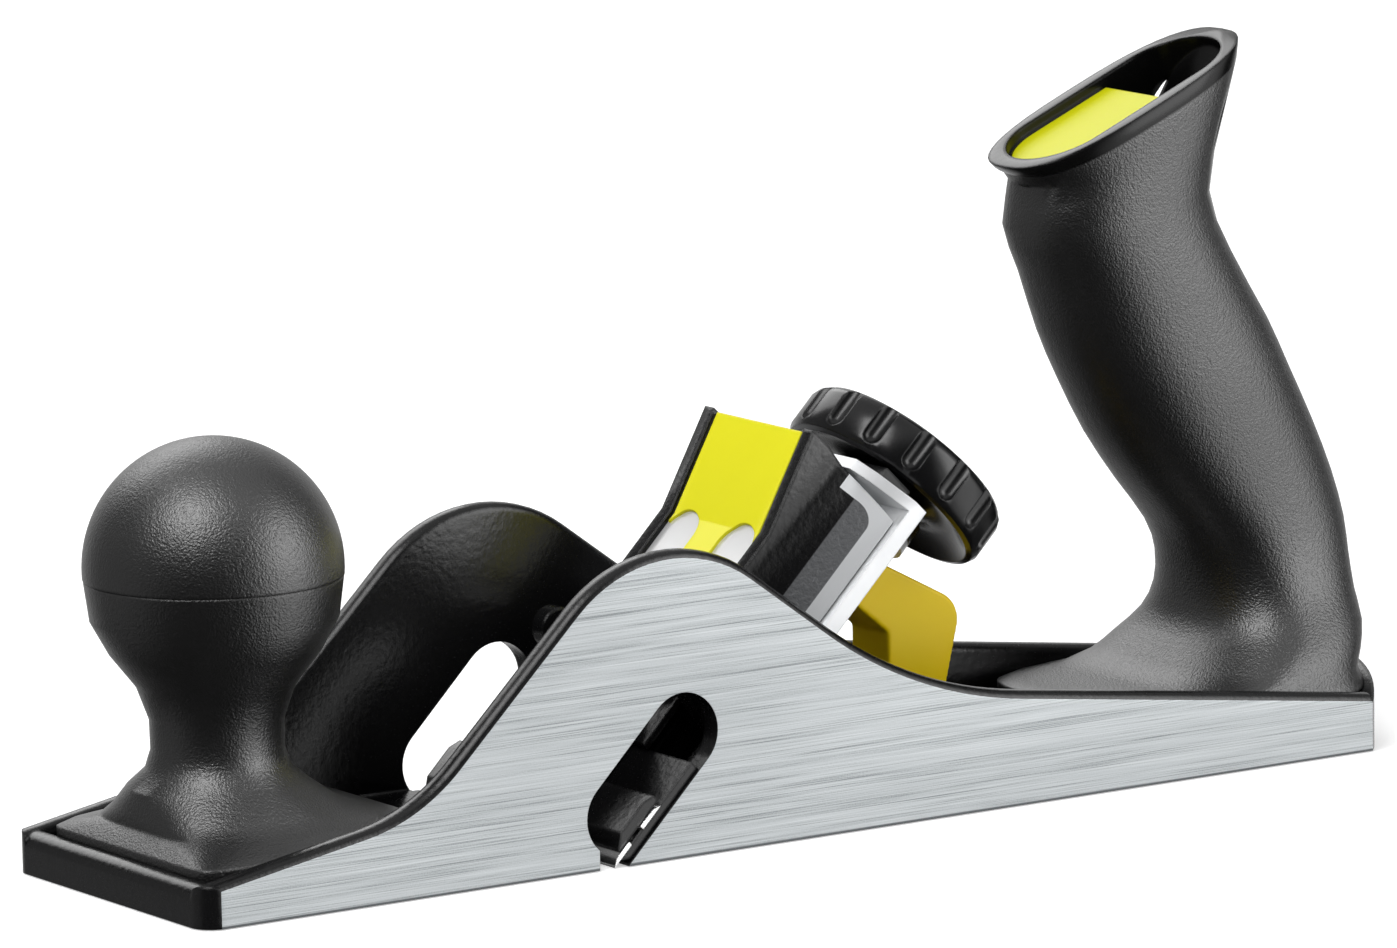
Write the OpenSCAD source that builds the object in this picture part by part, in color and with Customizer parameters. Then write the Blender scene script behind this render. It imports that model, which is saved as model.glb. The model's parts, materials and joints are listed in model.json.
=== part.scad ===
// Bench-and-rebate plane with a replaceable blade, in millimetres.
// X runs from toe to heel, Y across the body, Z up from the sole.
// The origin is at the middle of the body's length and width, on the sole.

/* [Body] */
// Width over the ground cheeks
body_w = 60; // [56:1:66]
// Length of the straight side on the sole
straight_l = 232.5; // [228:0.5:245]
// How far the rounded heel stands past the straight side
heel_bulge = 12; // [9:0.5:14]
// Thickness of a cheek
cheek_t = 4; // [3.2:0.1:4.6]
// Thickness of the floor
floor_t = 4.5; // [3.5:0.1:5.5]
// Thickness of the rim across the toe
toe_wall = 3; // [2.2:0.1:3]
// Thickness of the rim round the heel
heel_wall = 3.5; // [2.5:0.1:4]
// Radius of the toe's corners seen from above
toe_r = 4; // [2:0.5:6]
// Rounding along the top edge of the cheeks
edge_r = 1.5; // [0.8:0.1:1.7]
// Height of the cheek's ground face at the toe
toe_h = 5.3; // [4.8:0.1:6]
// Height of the cheek's ground face at the heel
heel_h = 8.3; // [7.5:0.1:9.5]
// Height of the heel rim at the nose
heel_lip = 13; // [11:0.1:14]
// Where the toe slope meets the front of the hump, from the toe
dip_x = 41.2; // [38:0.1:44]
// Height of that corner
dip_h = 12.6; // [11:0.1:14]
// Its blend radius
dip_r = 35; // [20:1:40]
// Where the two flanks of the hump would meet, from the toe
hump_x = 87.5; // [84:0.1:91]
// Height of that corner
hump_h = 57.4; // [54:0.1:61]
// Radius of the hump's top
hump_r = 25.9; // [20:0.1:30]
// Where the hump's back meets the rear slope, from the toe
waist_x = 137.6; // [132:0.1:142]
// Height of that corner
waist_h = 20.6; // [18:0.1:23]
// Its blend radius
waist_r = 84; // [60:1:95]
// Front wall of the mouth, from the toe
mouth_x = 75; // [73.5:0.1:76]
// Cutting edge, from the toe
edge_x = 78; // [77.5:0.1:79]
// Radius of the slot's ends in the cheeks
slot_r = 6.8; // [6:0.1:7]
// Distance between the centres of the slot's ends
slot_l = 17.2; // [16.5:0.1:18]
// Height of the frog's seat
seat_h = 8; // [7:0.1:9]
// Rear end of the frog's seat, from the toe
seat_end = 122; // [120:0.5:125]

/* [Front knob] */
// Knob axis, from the toe
knob_x = 21.3; // [20:0.1:23]
// Radius of the ball
ball_r = 21.2; // [19:0.1:22.5]
// Height of the ball's centre
ball_h = 52.1; // [50:0.1:55]
// Height of the seam between base and cap
seam_h = 50.6; // [49:0.1:51.5]
// Radius of the neck
neck_r = 10.9; // [9.5:0.1:12]
// Length of the rectangular flange
flange_l = 50.7; // [48:0.1:52]
// Width of the flange
flange_w = 49; // [46:0.5:50]
// Height of the flange's edge above the floor
flange_t = 3.6; // [2.5:0.1:4.2]

/* [Handle] */
// Handle bolt, in front of the end of the straight side
handle_back = 10.5; // [9:0.5:12]
// Height of the middle of the handle's top rim
rim_h = 112; // [108:0.5:116]
// Tilt of the top rim
rim_tilt = 23; // [20:0.5:25]
// Length over the top rim
rim_l = 50; // [48:0.5:51]
// Width over the top rim
rim_w = 26.4; // [25:0.2:28]
// Width of the grip at mid height
grip_w = 30; // [28:0.5:32]
// Width of the rim's flat
rim_flat = 3.2; // [2.6:0.1:3.6]
// Drawer floor and the room below it, under the spare blades
store_floor = 1.6; // [1.4:0.1:2.5]
// Length of the yellow top of the drawer
drawer_l = 26.4; // [25.5:0.1:27]
// Depth of the finger pocket
pocket_depth = 13; // [8:0.5:16]
// How far the drawer pulls out
drawer_travel = 55; // [40:1:60]

/* [Blade] */
// Width of the blade from edge to edge
blade_l = 12.9; // [12:0.1:13.2]
// Thickness of the blade
blade_t = 0.7; // [0.5:0.05:0.8]
// Step from a cheek's ground face to the blade's end
blade_inset = 0.3; // [0.2:0.1:0.6]
// Number of spare blades in the drawer
spare_count = 3; // [1:1:4]

/* [Lever cap] */
// Half width of the cap's top
cap_half = 16; // [15:0.1:16.5]
// Height of the cap's deck above the blade's face
deck_n = 4; // [3.6:0.1:4.4]
// Where the deck bends up, along the bed
bend_s = 63; // [61:0.5:65]
// End of the cap, along the bed
cap_end = 81; // [80:0.1:81.5]
// Slope of the bent end
bend_a = 16; // [12:0.5:18]
// Width of a side rim on the deck
side_rim = 2.7; // [2:0.1:3]
// Pivot of the cap, along the bed
pivot_s = 36; // [35.5:0.1:36.5]
// Pivot of the cap, above the blade's face
pivot_n = 6.6; // [6.5:0.1:6.8]
// Radius of the cap pin
pin_r = 1.5; // [1.2:0.1:1.6]

/* [Adjuster] */
// Depth of the screw's axis below the blade's face
screw_n = 17.5; // [17:0.1:18]
// Radius of the adjusting screw
screw_r = 2; // [1.8:0.1:2.3]
// Radius of the depth wheel
wheel_r = 19.2; // [17:0.1:20]
// Thickness of the depth wheel
wheel_t = 10; // [9:0.1:11]
// Number of grip notches round the wheel
notches = 15; // [10:1:18]
// Radius of the lateral lever's hub
hub_r = 6.5; // [6:0.1:6.6]
// Thickness of the lateral lever's tab
tab_t = 11; // [9:0.5:12]

/* [Fits] */
// Gap round a shaft in its hole
running = 0.06; // [0.04:0.01:0.09]
// Gap between parts that only sit close
gap = 0.3; // [0.2:0.05:0.4]

/* [Hidden] */
$fn = 64;

overall_l = straight_l + heel_bulge;
inner_half = body_w / 2 - cheek_t;
blade_w = body_w - 2 * blade_inset;
drawer_top = -2;
blade_lip = 2;
store_depth = blade_w + blade_lip - drawer_top + store_floor;
heel_r = (heel_bulge * heel_bulge + body_w * body_w / 4) / (2 * heel_bulge);
heel_cx = overall_l - heel_r;
bed_drop = 1.84;
plate_t = 1.74;
bolt_r = 3;
boss_r = 7;
handle_x = straight_l - handle_back;

function unit(v) = v / norm(v);
// Tangent points and centre of a blend of radius r at corner v
function blend(a, v, b, r) =
    let (u = unit(a - v), w = unit(b - v), half = acos(u * w) / 2)
    [v + u * r / tan(half), v + w * r / tan(half), v + unit(u + w) * r / sin(half)];
function bearing(c, p) = atan2(p.y - c.y, p.x - c.x);
function arc(c, r, a0, a1, steps) =
    [for (i = [0 : steps]) let (a = a0 + (a1 - a0) * i / steps) c + r * [cos(a), sin(a)]];

// Corners of the cheek's ground face, toe to heel
top_line = [[0, toe_h], [dip_x, dip_h], [hump_x, hump_h], [waist_x, waist_h], [straight_l, heel_h]];
top_radii = [0, dip_r, hump_r, waist_r];
blends = [for (i = [1 : 3]) blend(top_line[i - 1], top_line[i], top_line[i + 1], top_radii[i])];
top_points = concat(
    [top_line[0]],
    [for (i = [0 : 2]) let (b = blends[i])
        each arc(b[2], top_radii[i + 1], bearing(b[2], b[0]), bearing(b[2], b[1]), 16)],
    [top_line[4]]
);

// Everything is drawn from the toe and moved back by half the length
module from_toe() {
    translate([-overall_l / 2, 0, 0]) children();
}

// The bed's own frame: x runs up the bed from the cutting edge, z stands square to it
module on_bed() {
    from_toe() translate([edge_x, 0, 0]) rotate([0, -45, 0]) children();
}

// A profile drawn in x and z, spread evenly about the centre plane
module across(width) {
    translate([0, width / 2, 0]) rotate([90, 0, 0]) linear_extrude(width) children();
}

// A profile drawn in y and z, extruded along x
module along(length) {
    rotate([90, 0, 90]) linear_extrude(length) children();
}

// Round stock along x
module rod(r, length) {
    rotate([0, 90, 0]) cylinder(h = length, r = r);
}

module outline() {
    translate([toe_r, -body_w / 2]) square([straight_l - toe_r, body_w]);
    translate([0, toe_r - body_w / 2]) square([toe_r + 1, body_w - 2 * toe_r]);
    for (side = [-1, 1]) translate([toe_r, side * (body_w / 2 - toe_r)]) circle(toe_r);
    intersection() {
        translate([heel_cx, 0]) circle(heel_r);
        translate([straight_l - 1, -body_w / 2]) square([heel_bulge + 2, body_w]);
    }
}

// Upright direction of the top line at point i, with the two ends kept in their planes
function top_normal(i) =
    let (last = len(top_points) - 1)
    i == 0 || i == last ? [0, 1] :
    let (d = unit(top_points[i + 1] - top_points[i - 1])) [-d.y, d.x];

// The cheek's outline at depth y into the wall, raised by the height up. Its first point sees all the others
function cheek_ring(y, up) = concat(
    [[hump_x, y, 0], [0, y, 0]],
    [for (i = [0 : len(top_points) - 1]) let (p = top_points[i] + up * top_normal(i)) [p.x, y, p.y]],
    [[straight_l, y, 0]]
);

// Quarter rounds on both sides of the wall's top
module cheek() {
    turns = [0, 30, 60, 90];
    loft(concat(
        [for (t = turns) cheek_ring(edge_r * (1 - cos(t)), edge_r * sin(t))],
        [for (t = [90, 60, 30, 0]) cheek_ring(cheek_t - edge_r * (1 - cos(t)), edge_r * sin(t))]
    ));
}

// Slot through both cheeks, along the bed
module slot_cut() {
    mid_n = slot_r - bed_drop;
    low_s = 7;
    for (side = [0, 1]) mirror([0, side, 0]) on_edge_line()
        translate([0, body_w / 2 + 1, 0]) rotate([90, 0, 0]) linear_extrude(cheek_t + 2) {
            for (s = [low_s, low_s + slot_l]) translate([s, mid_n]) circle(slot_r);
            translate([low_s, mid_n - slot_r]) square([slot_l, 2 * slot_r]);
        }
}

module on_edge_line() {
    translate([edge_x, 0, 0]) rotate([0, -45, 0]) children();
}

// Mouth with an upright front wall and a 45 degree ramp behind
module mouth_cut() {
    ramp_x = edge_x + bed_drop * sqrt(2);
    across(body_w + 2)
        polygon([[mouth_x, -1], [mouth_x, seat_h + 1], [ramp_x + seat_h + 1, seat_h + 1], [ramp_x - 1, -1]]);
}

// The rim round the heel, with room round it when grown by more than nothing
module heel_rim(grow) {
    slope = atan((heel_lip - heel_h) / heel_bulge);
    difference() {
        linear_extrude(heel_lip + 8) intersection() {
            translate([heel_cx, 0]) difference() {
                circle(heel_r + 2 * grow);
                circle(heel_r - heel_wall - grow);
            }
            translate([straight_l - (grow > 0 ? 8 : 0.5), -body_w / 2]) square([heel_bulge + 20, body_w]);
        }
        translate([straight_l, 0, heel_h + grow]) rotate([0, -slope, 0])
            translate([-40, -body_w, 0]) cube([90, 2 * body_w, 40]);
    }
}

module toe_rim() {
    round_r = 2.5;
    top = toe_h + edge_r;
    across(body_w) {
        square([toe_wall, top - round_r]);
        translate([round_r, top - round_r]) square([toe_wall - round_r + 0.01, round_r]);
        intersection() {
            translate([round_r, top - round_r]) circle(round_r);
            translate([0, top - round_r]) square(round_r);
        }
    }
}

// What is cut away outside the toe's rounded corners
module toe_corners() {
    for (side = [0, 1]) mirror([0, side, 0]) translate([0, -body_w / 2, -1]) linear_extrude(20) difference() {
        translate([-1, -1]) square(toe_r + 1);
        translate([toe_r, toe_r]) circle(toe_r);
    }
}

// Blind hole for a screw of radius r whose tip reaches height tip
module tapped(x, y, r, tip, top) {
    translate([x, y, tip]) cylinder(h = top - tip + 1, r = r + running);
}

module body() {
    color([0.78, 0.79, 0.8]) from_toe() difference() {
        union() {
            linear_extrude(floor_t) outline();
            for (y = [-body_w / 2, inner_half]) translate([0, y, 0]) cheek();
            toe_rim();
            heel_rim(0);
            across(body_w - 2 * cheek_t)
                polygon([[edge_x, 0], [edge_x + 8, seat_h], [seat_end, seat_h], [seat_end, 0]]);
            for (x = [knob_x, handle_x]) translate([x, 0, 0]) cylinder(h = floor_t + 3.5, r = boss_r);
        }
        slot_cut();
        toe_corners();
        mouth_cut();
        for (x = [knob_x, handle_x]) tapped(x, 0, bolt_r, 1.4, floor_t + 3.5);
        for (y = [-1, 1]) tapped(foot_screw_x, y * foot_screw_y, foot_screw_r, 1.4, seat_h);
    }
}

// Ring of a loft: a superellipse of half lengths a and b and power m, tilted about y
function ring(xc, zc, a, b, m, tilt, count) =
    [for (i = [0 : count - 1])
        let (t = 360 * i / count, c = cos(t), s = sin(t))
        let (x = a * sign(c) * pow(abs(c), 2 / m), y = b * sign(s) * pow(abs(s), 2 / m))
        [xc + x * cos(tilt), y, zc + x * sin(tilt)]];

module loft(rings) {
    n = len(rings[0]);
    m = len(rings);
    polyhedron(
        points = [for (r = rings) each r],
        faces = concat(
            [[for (i = [0 : n - 1]) i]],
            [for (j = [0 : m - 2]) for (i = [0 : n - 1]) let (k = (i + 1) % n, a = j * n)
                each [[a + i, a + n + i, a + n + k], [a + i, a + n + k, a + k]]],
            [[for (i = [n : -1 : 1]) (m - 1) * n + i % n]]
        )
    );
}

// Smooth value between stations k and k+1 of column c
function spline(t, k, c, u) =
    let (p0 = t[max(k - 1, 0)][c], p1 = t[k][c], p2 = t[k + 1][c], p3 = t[min(k + 2, len(t) - 1)][c])
    p1 + 0.5 * u * (p2 - p0 + u * (2 * p0 - 5 * p1 + 4 * p2 - p3 + u * (3 * (p1 - p2) + p3 - p0)));

// Knob stations: height, centre, half length, half width, power
knob_mid = toe_wall + 0.3 + flange_l / 2;
flange_top = floor_t + flange_t;
knob_stations = [
    [floor_t, knob_mid, flange_l / 2, flange_w / 2, 14],
    [flange_top, knob_mid, flange_l / 2, flange_w / 2, 14],
    [flange_top + 1.3, knob_mid - 0.3, flange_l / 2 - 1.6, flange_w / 2 - 1.6, 9],
    [flange_top + 2.6, knob_mid - 2, flange_l / 2 - 5, flange_w / 2 - 4.5, 4.5],
    [flange_top + 4.8, knob_x + 2, neck_r + 6.5, neck_r + 7, 2.8],
    [16.7, knob_x, neck_r + 4, neck_r + 4, 2],
    [19.4, knob_x, neck_r + 1, neck_r + 1, 2],
    [22.5, knob_x, neck_r, neck_r, 2],
    [27.5, knob_x, neck_r + 0.1, neck_r + 0.1, 2],
    [33, knob_x, neck_r + 2.1, neck_r + 2.1, 2],
    [38.4, knob_x, ball_r - 4, ball_r - 4, 2],
    [43.9, knob_x, ball_r - 1, ball_r - 1, 2],
    [seam_h, knob_x, ball_r - 0.1, ball_r - 0.1, 2]
];
knob_well_r = 9;
knob_well_z = 36;
cap_gap = 0.1;

module knob_base() {
    count = 56;
    rings = [for (s = knob_stations) ring(s[1], s[0], s[2], s[3], s[4], 0, count)];
    color([0.2, 0.2, 0.2]) from_toe() difference() {
        loft(rings);
        translate([knob_x, 0, knob_well_z]) cylinder(h = seam_h, r = knob_well_r);
        translate([knob_x, 0, 0]) cylinder(h = seam_h, r = bolt_r + 0.25);
        translate([knob_x, 0, 0]) cylinder(h = floor_t + 3.5 + gap, r = boss_r + gap);
    }
}

module knob_cap() {
    color([0.2, 0.2, 0.2]) from_toe() translate([knob_x, 0, 0]) {
        difference() {
            translate([0, 0, ball_h]) sphere(r = ball_r, $fn = 96);
            cylinder(h = seam_h + cap_gap, r = 2 * ball_r);
            translate([0, 0, -50]) cylinder(h = 60, r = 2 * ball_r);
        }
        translate([0, 0, seam_h - 3]) cylinder(h = 4, r = knob_well_r - running);
    }
}

module washer(x, z, r_out, thickness) {
    from_toe() translate([x, 0, z]) difference() {
        cylinder(h = thickness, r = r_out);
        translate([0, 0, -1]) cylinder(h = thickness + 2, r = bolt_r + 0.1);
    }
}

// Hexagon socket screw standing on height z, its tip at height tip
module socket_screw(r, head_r, head_h, tip, z) {
    difference() {
        union() {
            translate([0, 0, tip]) cylinder(h = z - tip + 0.5, r = r);
            translate([0, 0, z]) cylinder(h = head_h, r = head_r);
        }
        translate([0, 0, z + head_h / 2]) cylinder(h = head_h, r = head_r * 0.5, $fn = 6);
    }
}

module knob_bolt() {
    color([0.7, 0.7, 0.72]) from_toe() translate([knob_x, 0, 0])
        socket_screw(bolt_r, 5, 5, 1.6, knob_well_z + 1.2);
}

module knob_washer() {
    color([0.75, 0.75, 0.77]) washer(knob_x, knob_well_z, 7, 1.2);
}

// Handle stations: height, front, rear, half width, power, tilt
half_channel = inner_half - 0.4;
rim_x = handle_x - 21;
handle_stations = [
    [floor_t, handle_x - 34, handle_x + 18.4, half_channel, 5, 0],
    [9.6, handle_x - 34, handle_x + 18.4, half_channel, 5, 0],
    [10.3, handle_x - 31.5, handle_x + 18.4, half_channel - 0.3, 4.5, 0],
    [11, handle_x - 21.5, handle_x + 18.4, half_channel - 0.6, 4, 0],
    [12.7, handle_x - 16.5, handle_x + 18.5, half_channel - 1, 3.2, 0],
    [15.7, handle_x - 12.7, handle_x + 20.5, half_channel - 2, 2.8, 0],
    [20, handle_x - 8, handle_x + 22.3, grip_w / 2 + 6.3, 2.6, 0],
    [25, handle_x - 6.9, handle_x + 22.4, grip_w / 2 + 3.5, 2.5, 0],
    [31, handle_x - 7.7, handle_x + 22.4, grip_w / 2 + 1.5, 2.5, 0],
    [37, handle_x - 10.6, handle_x + 22.2, grip_w / 2 + 0.5, 2.5, 0],
    [45, handle_x - 17.4, handle_x + 20.2, grip_w / 2, 2.5, 0],
    [54, handle_x - 24.1, handle_x + 16.5, grip_w / 2, 2.5, 0],
    [64, handle_x - 29.7, handle_x + 11.5, grip_w / 2, 2.5, 0],
    [72.5, handle_x - 33.9, handle_x + 7.3, grip_w / 2 - 0.5, 2.5, 0],
    [84, handle_x - 37.7, handle_x - 0.3, grip_w / 2 - 1, 2.5, 3],
    [93.5, handle_x - 41, handle_x - 4.5, grip_w / 2 - 1.5, 2.5, 8],
    [rim_h - 8, rim_x - 19.3, rim_x + 20.3, rim_w / 2, 2.6, 16],
    [rim_h - 2, rim_x - 23.4, rim_x + 24.2, rim_w / 2, 2.7, rim_tilt - 1],
    [rim_h, rim_x - rim_l / 2, rim_x + rim_l / 2, rim_w / 2 - 0.4, 2.7, rim_tilt]
];
well_half = rim_w / 2 - rim_flat;
drawer_end = rim_flat - rim_l / 2 + 0.5 + drawer_l;
lid_t = 3;
bolt_room = 10.67;
handle_seat = rim_h - store_depth * cos(rim_tilt) - bolt_room;

function handle_ring(k, u, count) =
    let (t = handle_stations)
    let (f = spline(t, k, 1, u), r = spline(t, k, 2, u))
    ring((f + r) / 2, spline(t, k, 0, u), (r - f) / 2, spline(t, k, 3, u), spline(t, k, 4, u),
        spline(t, k, 5, u), count);

// The frame of the handle's top: x along the rim, z square to it
module on_rim() {
    from_toe() translate([rim_x, 0, rim_h]) rotate([0, -rim_tilt, 0]) children();
}

// Flat oval from x0 to x1 with round ends
module oval(x0, x1, half) {
    for (x = [x0 + half, x1 - half]) translate([x, 0]) circle(half);
    translate([x0 + half, -half]) square([x1 - x0 - 2 * half, 2 * half]);
}

// Round front and square rear end, as the drawer has
module drawer_plan(grow) {
    half = well_half - 0.4 + grow;
    x0 = rim_flat - rim_l / 2 + 0.5 - grow;
    x1 = drawer_end + grow;
    translate([x0 + half, 0]) circle(half);
    translate([x0 + half, -half]) square([x1 - x0 - half, 2 * half]);
}

// The drawer's body, narrower than its lid
module store_plan(grow) {
    half = well_half - 1.9 + grow;
    x0 = rim_flat - rim_l / 2 + 1.8 - grow;
    x1 = drawer_end - 5 + grow;
    translate([x0 + half, 0]) circle(half);
    translate([x0 + half, -half]) square([x1 - x0 - half, 2 * half]);
}

module handle() {
    count = 44;
    last = len(handle_stations) - 1;
    rings = concat(
        [for (k = [0 : 3]) handle_ring(k, 0, count)],
        [for (k = [4 : last - 1]) for (u = [0, 0.5]) handle_ring(k, u, count)],
        [handle_ring(last - 1, 1, count)]
    );
    inner = rim_l / 2 - rim_flat;
    color([0.18, 0.18, 0.18]) difference() {
        from_toe() loft(rings);
        on_rim() {
            translate([0, 0, -1.8]) linear_extrude(40) oval(-inner, inner, well_half);
            intersection() {
                translate([0, 0, -30]) linear_extrude(60) oval(-inner, inner, well_half);
                across(rim_w) polygon([
                    [drawer_end - 1, -pocket_depth], [drawer_end + 4, -pocket_depth],
                    [inner, -1.8], [inner, 9], [drawer_end - 1, 9]
                ]);
            }
            translate([0, 0, drawer_top - lid_t - 0.15]) linear_extrude(30) drawer_plan(0.15);
            translate([0, 0, -store_depth]) linear_extrude(store_depth - 1) store_plan(0.15);
        }
        from_toe() {
            heel_rim(gap);
            translate([handle_x, 0, 0]) cylinder(h = handle_seat + 9, r = bolt_r + 0.25);
            translate([handle_x, 0, handle_seat]) cylinder(h = 12, r = boss_r);
            translate([handle_x, 0, 0]) cylinder(h = floor_t + 3.5 + gap, r = boss_r + gap);
        }
    }
}

module handle_bolt() {
    color([0.7, 0.7, 0.72]) from_toe() translate([handle_x, 0, 0])
        socket_screw(bolt_r, 5, 4.4, 1.6, handle_seat + 1.2);
}

module handle_washer() {
    color([0.75, 0.75, 0.77]) washer(handle_x, handle_seat, 6.6, 1.2);
}

stack_x = 6.2 - rim_l / 2 + rim_flat;
spare_pitch = blade_t + 0.15;

module blade_drawer() {
    stack_w = spare_count * spare_pitch + 0.4;
    color([0.93, 0.85, 0.1]) on_rim() difference() {
        union() {
            translate([0, 0, 0.5 - store_depth]) linear_extrude(store_depth - 1.5 + drawer_top) store_plan(0);
            translate([0, 0, drawer_top - lid_t]) linear_extrude(lid_t) drawer_plan(0);
        }
        translate([stack_x, -stack_w / 2, drawer_top - blade_lip - blade_w - 0.2])
            cube([rim_l, stack_w, blade_w + 0.4]);
    }
}

module spare_blades() {
    color([0.8, 0.8, 0.82]) on_rim()
        for (i = [0 : spare_count - 1])
            translate([stack_x + 0.2, (i - (spare_count - 1) / 2) * spare_pitch - blade_t / 2,
                    drawer_top - blade_lip - blade_w])
                cube([blade_l, blade_t, blade_w]);
}

// Frog: the sloping bed and what it carries
foot_screw_x = seat_end - 10;
foot_screw_y = 8;
foot_screw_r = 2.5;
foot_t = 4;
bed_half = 15.4;
flange_half = inner_half - 1.5;
flange_n = -8.3;
back_n = -11.2;
frog_end = 82.5;
end_t = 2;
ear_t = 3.4;
ear_y = 17.2;
tube_r = 4;
tube_s = 67;
slot_half = 5;
post_s = 20;
post_r = 3;
collar_t = 3.4;
collar_screw_n = -9.6;
collar_screw_y = 12;
collar_r = 8.8;
thrust_s = frog_end + 0.1;

module end_outline() {
    polygon([
        [-flange_half, back_n], [-flange_half, flange_n], [-20.5, -1.5], [-17.5, 1.6],
        [17.5, 1.6], [20.5, -1.5], [flange_half, flange_n], [flange_half, back_n]
    ]);
    translate([-collar_r, -screw_n]) square([2 * collar_r, screw_n + back_n + 1]);
    translate([0, -screw_n]) circle(collar_r);
}

module frog() {
    color([0.82, 0.83, 0.84]) difference() {
        union() {
            on_bed() {
                translate([10, -flange_half, back_n]) cube([frog_end - 10, 2 * flange_half, flange_n - back_n]);
                translate([10, -bed_half, back_n]) cube([frog_end - 11, 2 * bed_half, -bed_drop - back_n]);
                translate([frog_end - end_t, 0, 0]) along(end_t) end_outline();
                translate([tube_s, 0, -screw_n]) rod(tube_r, frog_end - tube_s - 1);
                translate([post_s, 0, -bed_drop - 1]) cylinder(h = 1 + bed_drop + 4.6, r = post_r);
                for (y = [-ear_y - ear_t, ear_y]) translate([0, y + ear_t, 0]) rotate([90, 0, 0])
                    linear_extrude(ear_t) {
                        translate([pivot_s, pivot_n]) circle(3.6);
                        polygon([
                            [pivot_s - 3.6, pivot_n], [pivot_s + 3.6, pivot_n],
                            [pivot_s + 7, flange_n - 1], [pivot_s - 6, flange_n - 1]
                        ]);
                    }
            }
            from_toe() {
                translate([98, -20, seat_h - 1]) cube([seat_end - 98 - gap, 40, foot_t + 1]);
                for (y = [-18, 14.5]) translate([0, y + 3.5, 0]) rotate([90, 0, 0]) linear_extrude(3.5)
                    polygon([[99, seat_h], [seat_end - gap, seat_h], [seat_end - gap, 24], [118, 25.5], [101, 8.5]]);
            }
        }
        from_toe() translate([0, -body_w, seat_h - 60]) cube([200, 2 * body_w, 60]);
        on_bed() {
            translate([46, -slot_half, back_n - 1]) cube([31.5, 2 * slot_half, 20]);
            translate([tube_s - 1, 0, -screw_n]) rod(screw_r + running, 40);
            for (y = [-1, 1]) translate([frog_end - 1.9, y * collar_screw_y, collar_screw_n])
                rod(1.5 + running, 4);
            translate([pivot_s, body_w / 2, pivot_n]) rotate([90, 0, 0])
                cylinder(h = body_w, r = pin_r + running);
        }
        from_toe() for (y = [-1, 1]) translate([foot_screw_x, y * foot_screw_y, 0])
            cylinder(h = seat_h + foot_t + 8, r = foot_screw_r + 0.25);
        from_toe() for (y = [-1, 1]) translate([foot_screw_x, y * foot_screw_y, seat_h + foot_t])
            cylinder(h = 7, r = 5.6);
    }
}

module frog_screws() {
    color([0.7, 0.7, 0.72]) from_toe() for (y = [-1, 1])
        translate([foot_screw_x, y * foot_screw_y, 0])
            socket_screw(foot_screw_r, 4.2, 3.6, 1.6, seat_h + foot_t + 1);
}

module frog_washers() {
    color([0.75, 0.75, 0.77]) from_toe() for (y = [-1, 1])
        translate([foot_screw_x, y * foot_screw_y, seat_h + foot_t]) difference() {
            cylinder(h = 1, r = 5.2);
            translate([0, 0, -1]) cylinder(h = 3, r = foot_screw_r + 0.1);
        }
}

// Lever cap with an eccentric knuckle that presses the clamp foot down
cam_e = 0.9;
cam_r = 3.9;
cam_half = 14;
skirt_s = 44;
deck_t = 3.4;
swing_r = 44.2;
rise = (cap_end - bend_s) * tan(bend_a);
plate_gauge = 0.7;
label_gauge = 0.5;
rim_rise = 1.6;

module cap_section() {
    polygon([
        [-cap_half, deck_n], [cap_half, deck_n], [cap_half + 3, -2], [cap_half + 7, -8],
        [bed_half + 0.5, -8], [bed_half + 0.5, deck_n - deck_t],
        [-bed_half - 0.5, deck_n - deck_t], [-bed_half - 0.5, -8], [-cap_half - 7, -8], [-cap_half - 3, -2]
    ]);
}

module lever_cap() {
    color([0.1, 0.1, 0.1]) on_bed() difference() {
        union() {
            intersection() {
                translate([skirt_s, 0, 0]) along(cap_end - 0.8 - skirt_s) cap_section();
                translate([pivot_s, 50, pivot_n]) rotate([90, 0, 0]) cylinder(h = 100, r = swing_r);
            }
            across(2 * cap_half) polygon([
                [bend_s, deck_n], [cap_end, deck_n + rise], [cap_end, deck_n + rise - 3],
                [cap_end - 0.9, deck_n - deck_t], [bend_s, deck_n - deck_t]
            ]);
            for (y = [-cap_half, cap_half - side_rim]) translate([0, y + side_rim, 0]) rotate([90, 0, 0])
                linear_extrude(side_rim) polygon([
                    [skirt_s, deck_n - 1], [skirt_s, deck_n + 0.6], [skirt_s + 3, deck_n + rim_rise],
                    [bend_s, deck_n + rim_rise], [cap_end, deck_n + rise + rim_rise], [cap_end, deck_n + rise - 1],
                    [bend_s, deck_n - 1]
                ]);
            across(2 * cam_half) {
                translate([pivot_s, pivot_n - cam_e]) circle(cam_r);
                polygon([
                    [pivot_s, pivot_n - cam_e - cam_r], [pivot_s + 4.5, pivot_n - cam_e - cam_r + 0.1],
                    [skirt_s + 2, deck_n - deck_t],
                    [skirt_s + 2, deck_n], [pivot_s + 2.4, pivot_n - cam_e + 3]
                ]);
            }
        }
        translate([pivot_s, body_w / 2, pivot_n]) rotate([90, 0, 0]) cylinder(h = body_w, r = pin_r + running);
    }
}

module cap_pin() {
    head = 0.8;
    half = ear_y + ear_t + gap;
    color([0.75, 0.75, 0.77]) on_bed() translate([pivot_s, half, pivot_n]) rotate([90, 0, 0]) {
        cylinder(h = 2 * half, r = pin_r);
        translate([0, 0, 2 * half]) cylinder(h = head, r = pin_r + 1);
        translate([0, 0, -head]) cylinder(h = head, r = pin_r + 1);
    }
}

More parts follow.
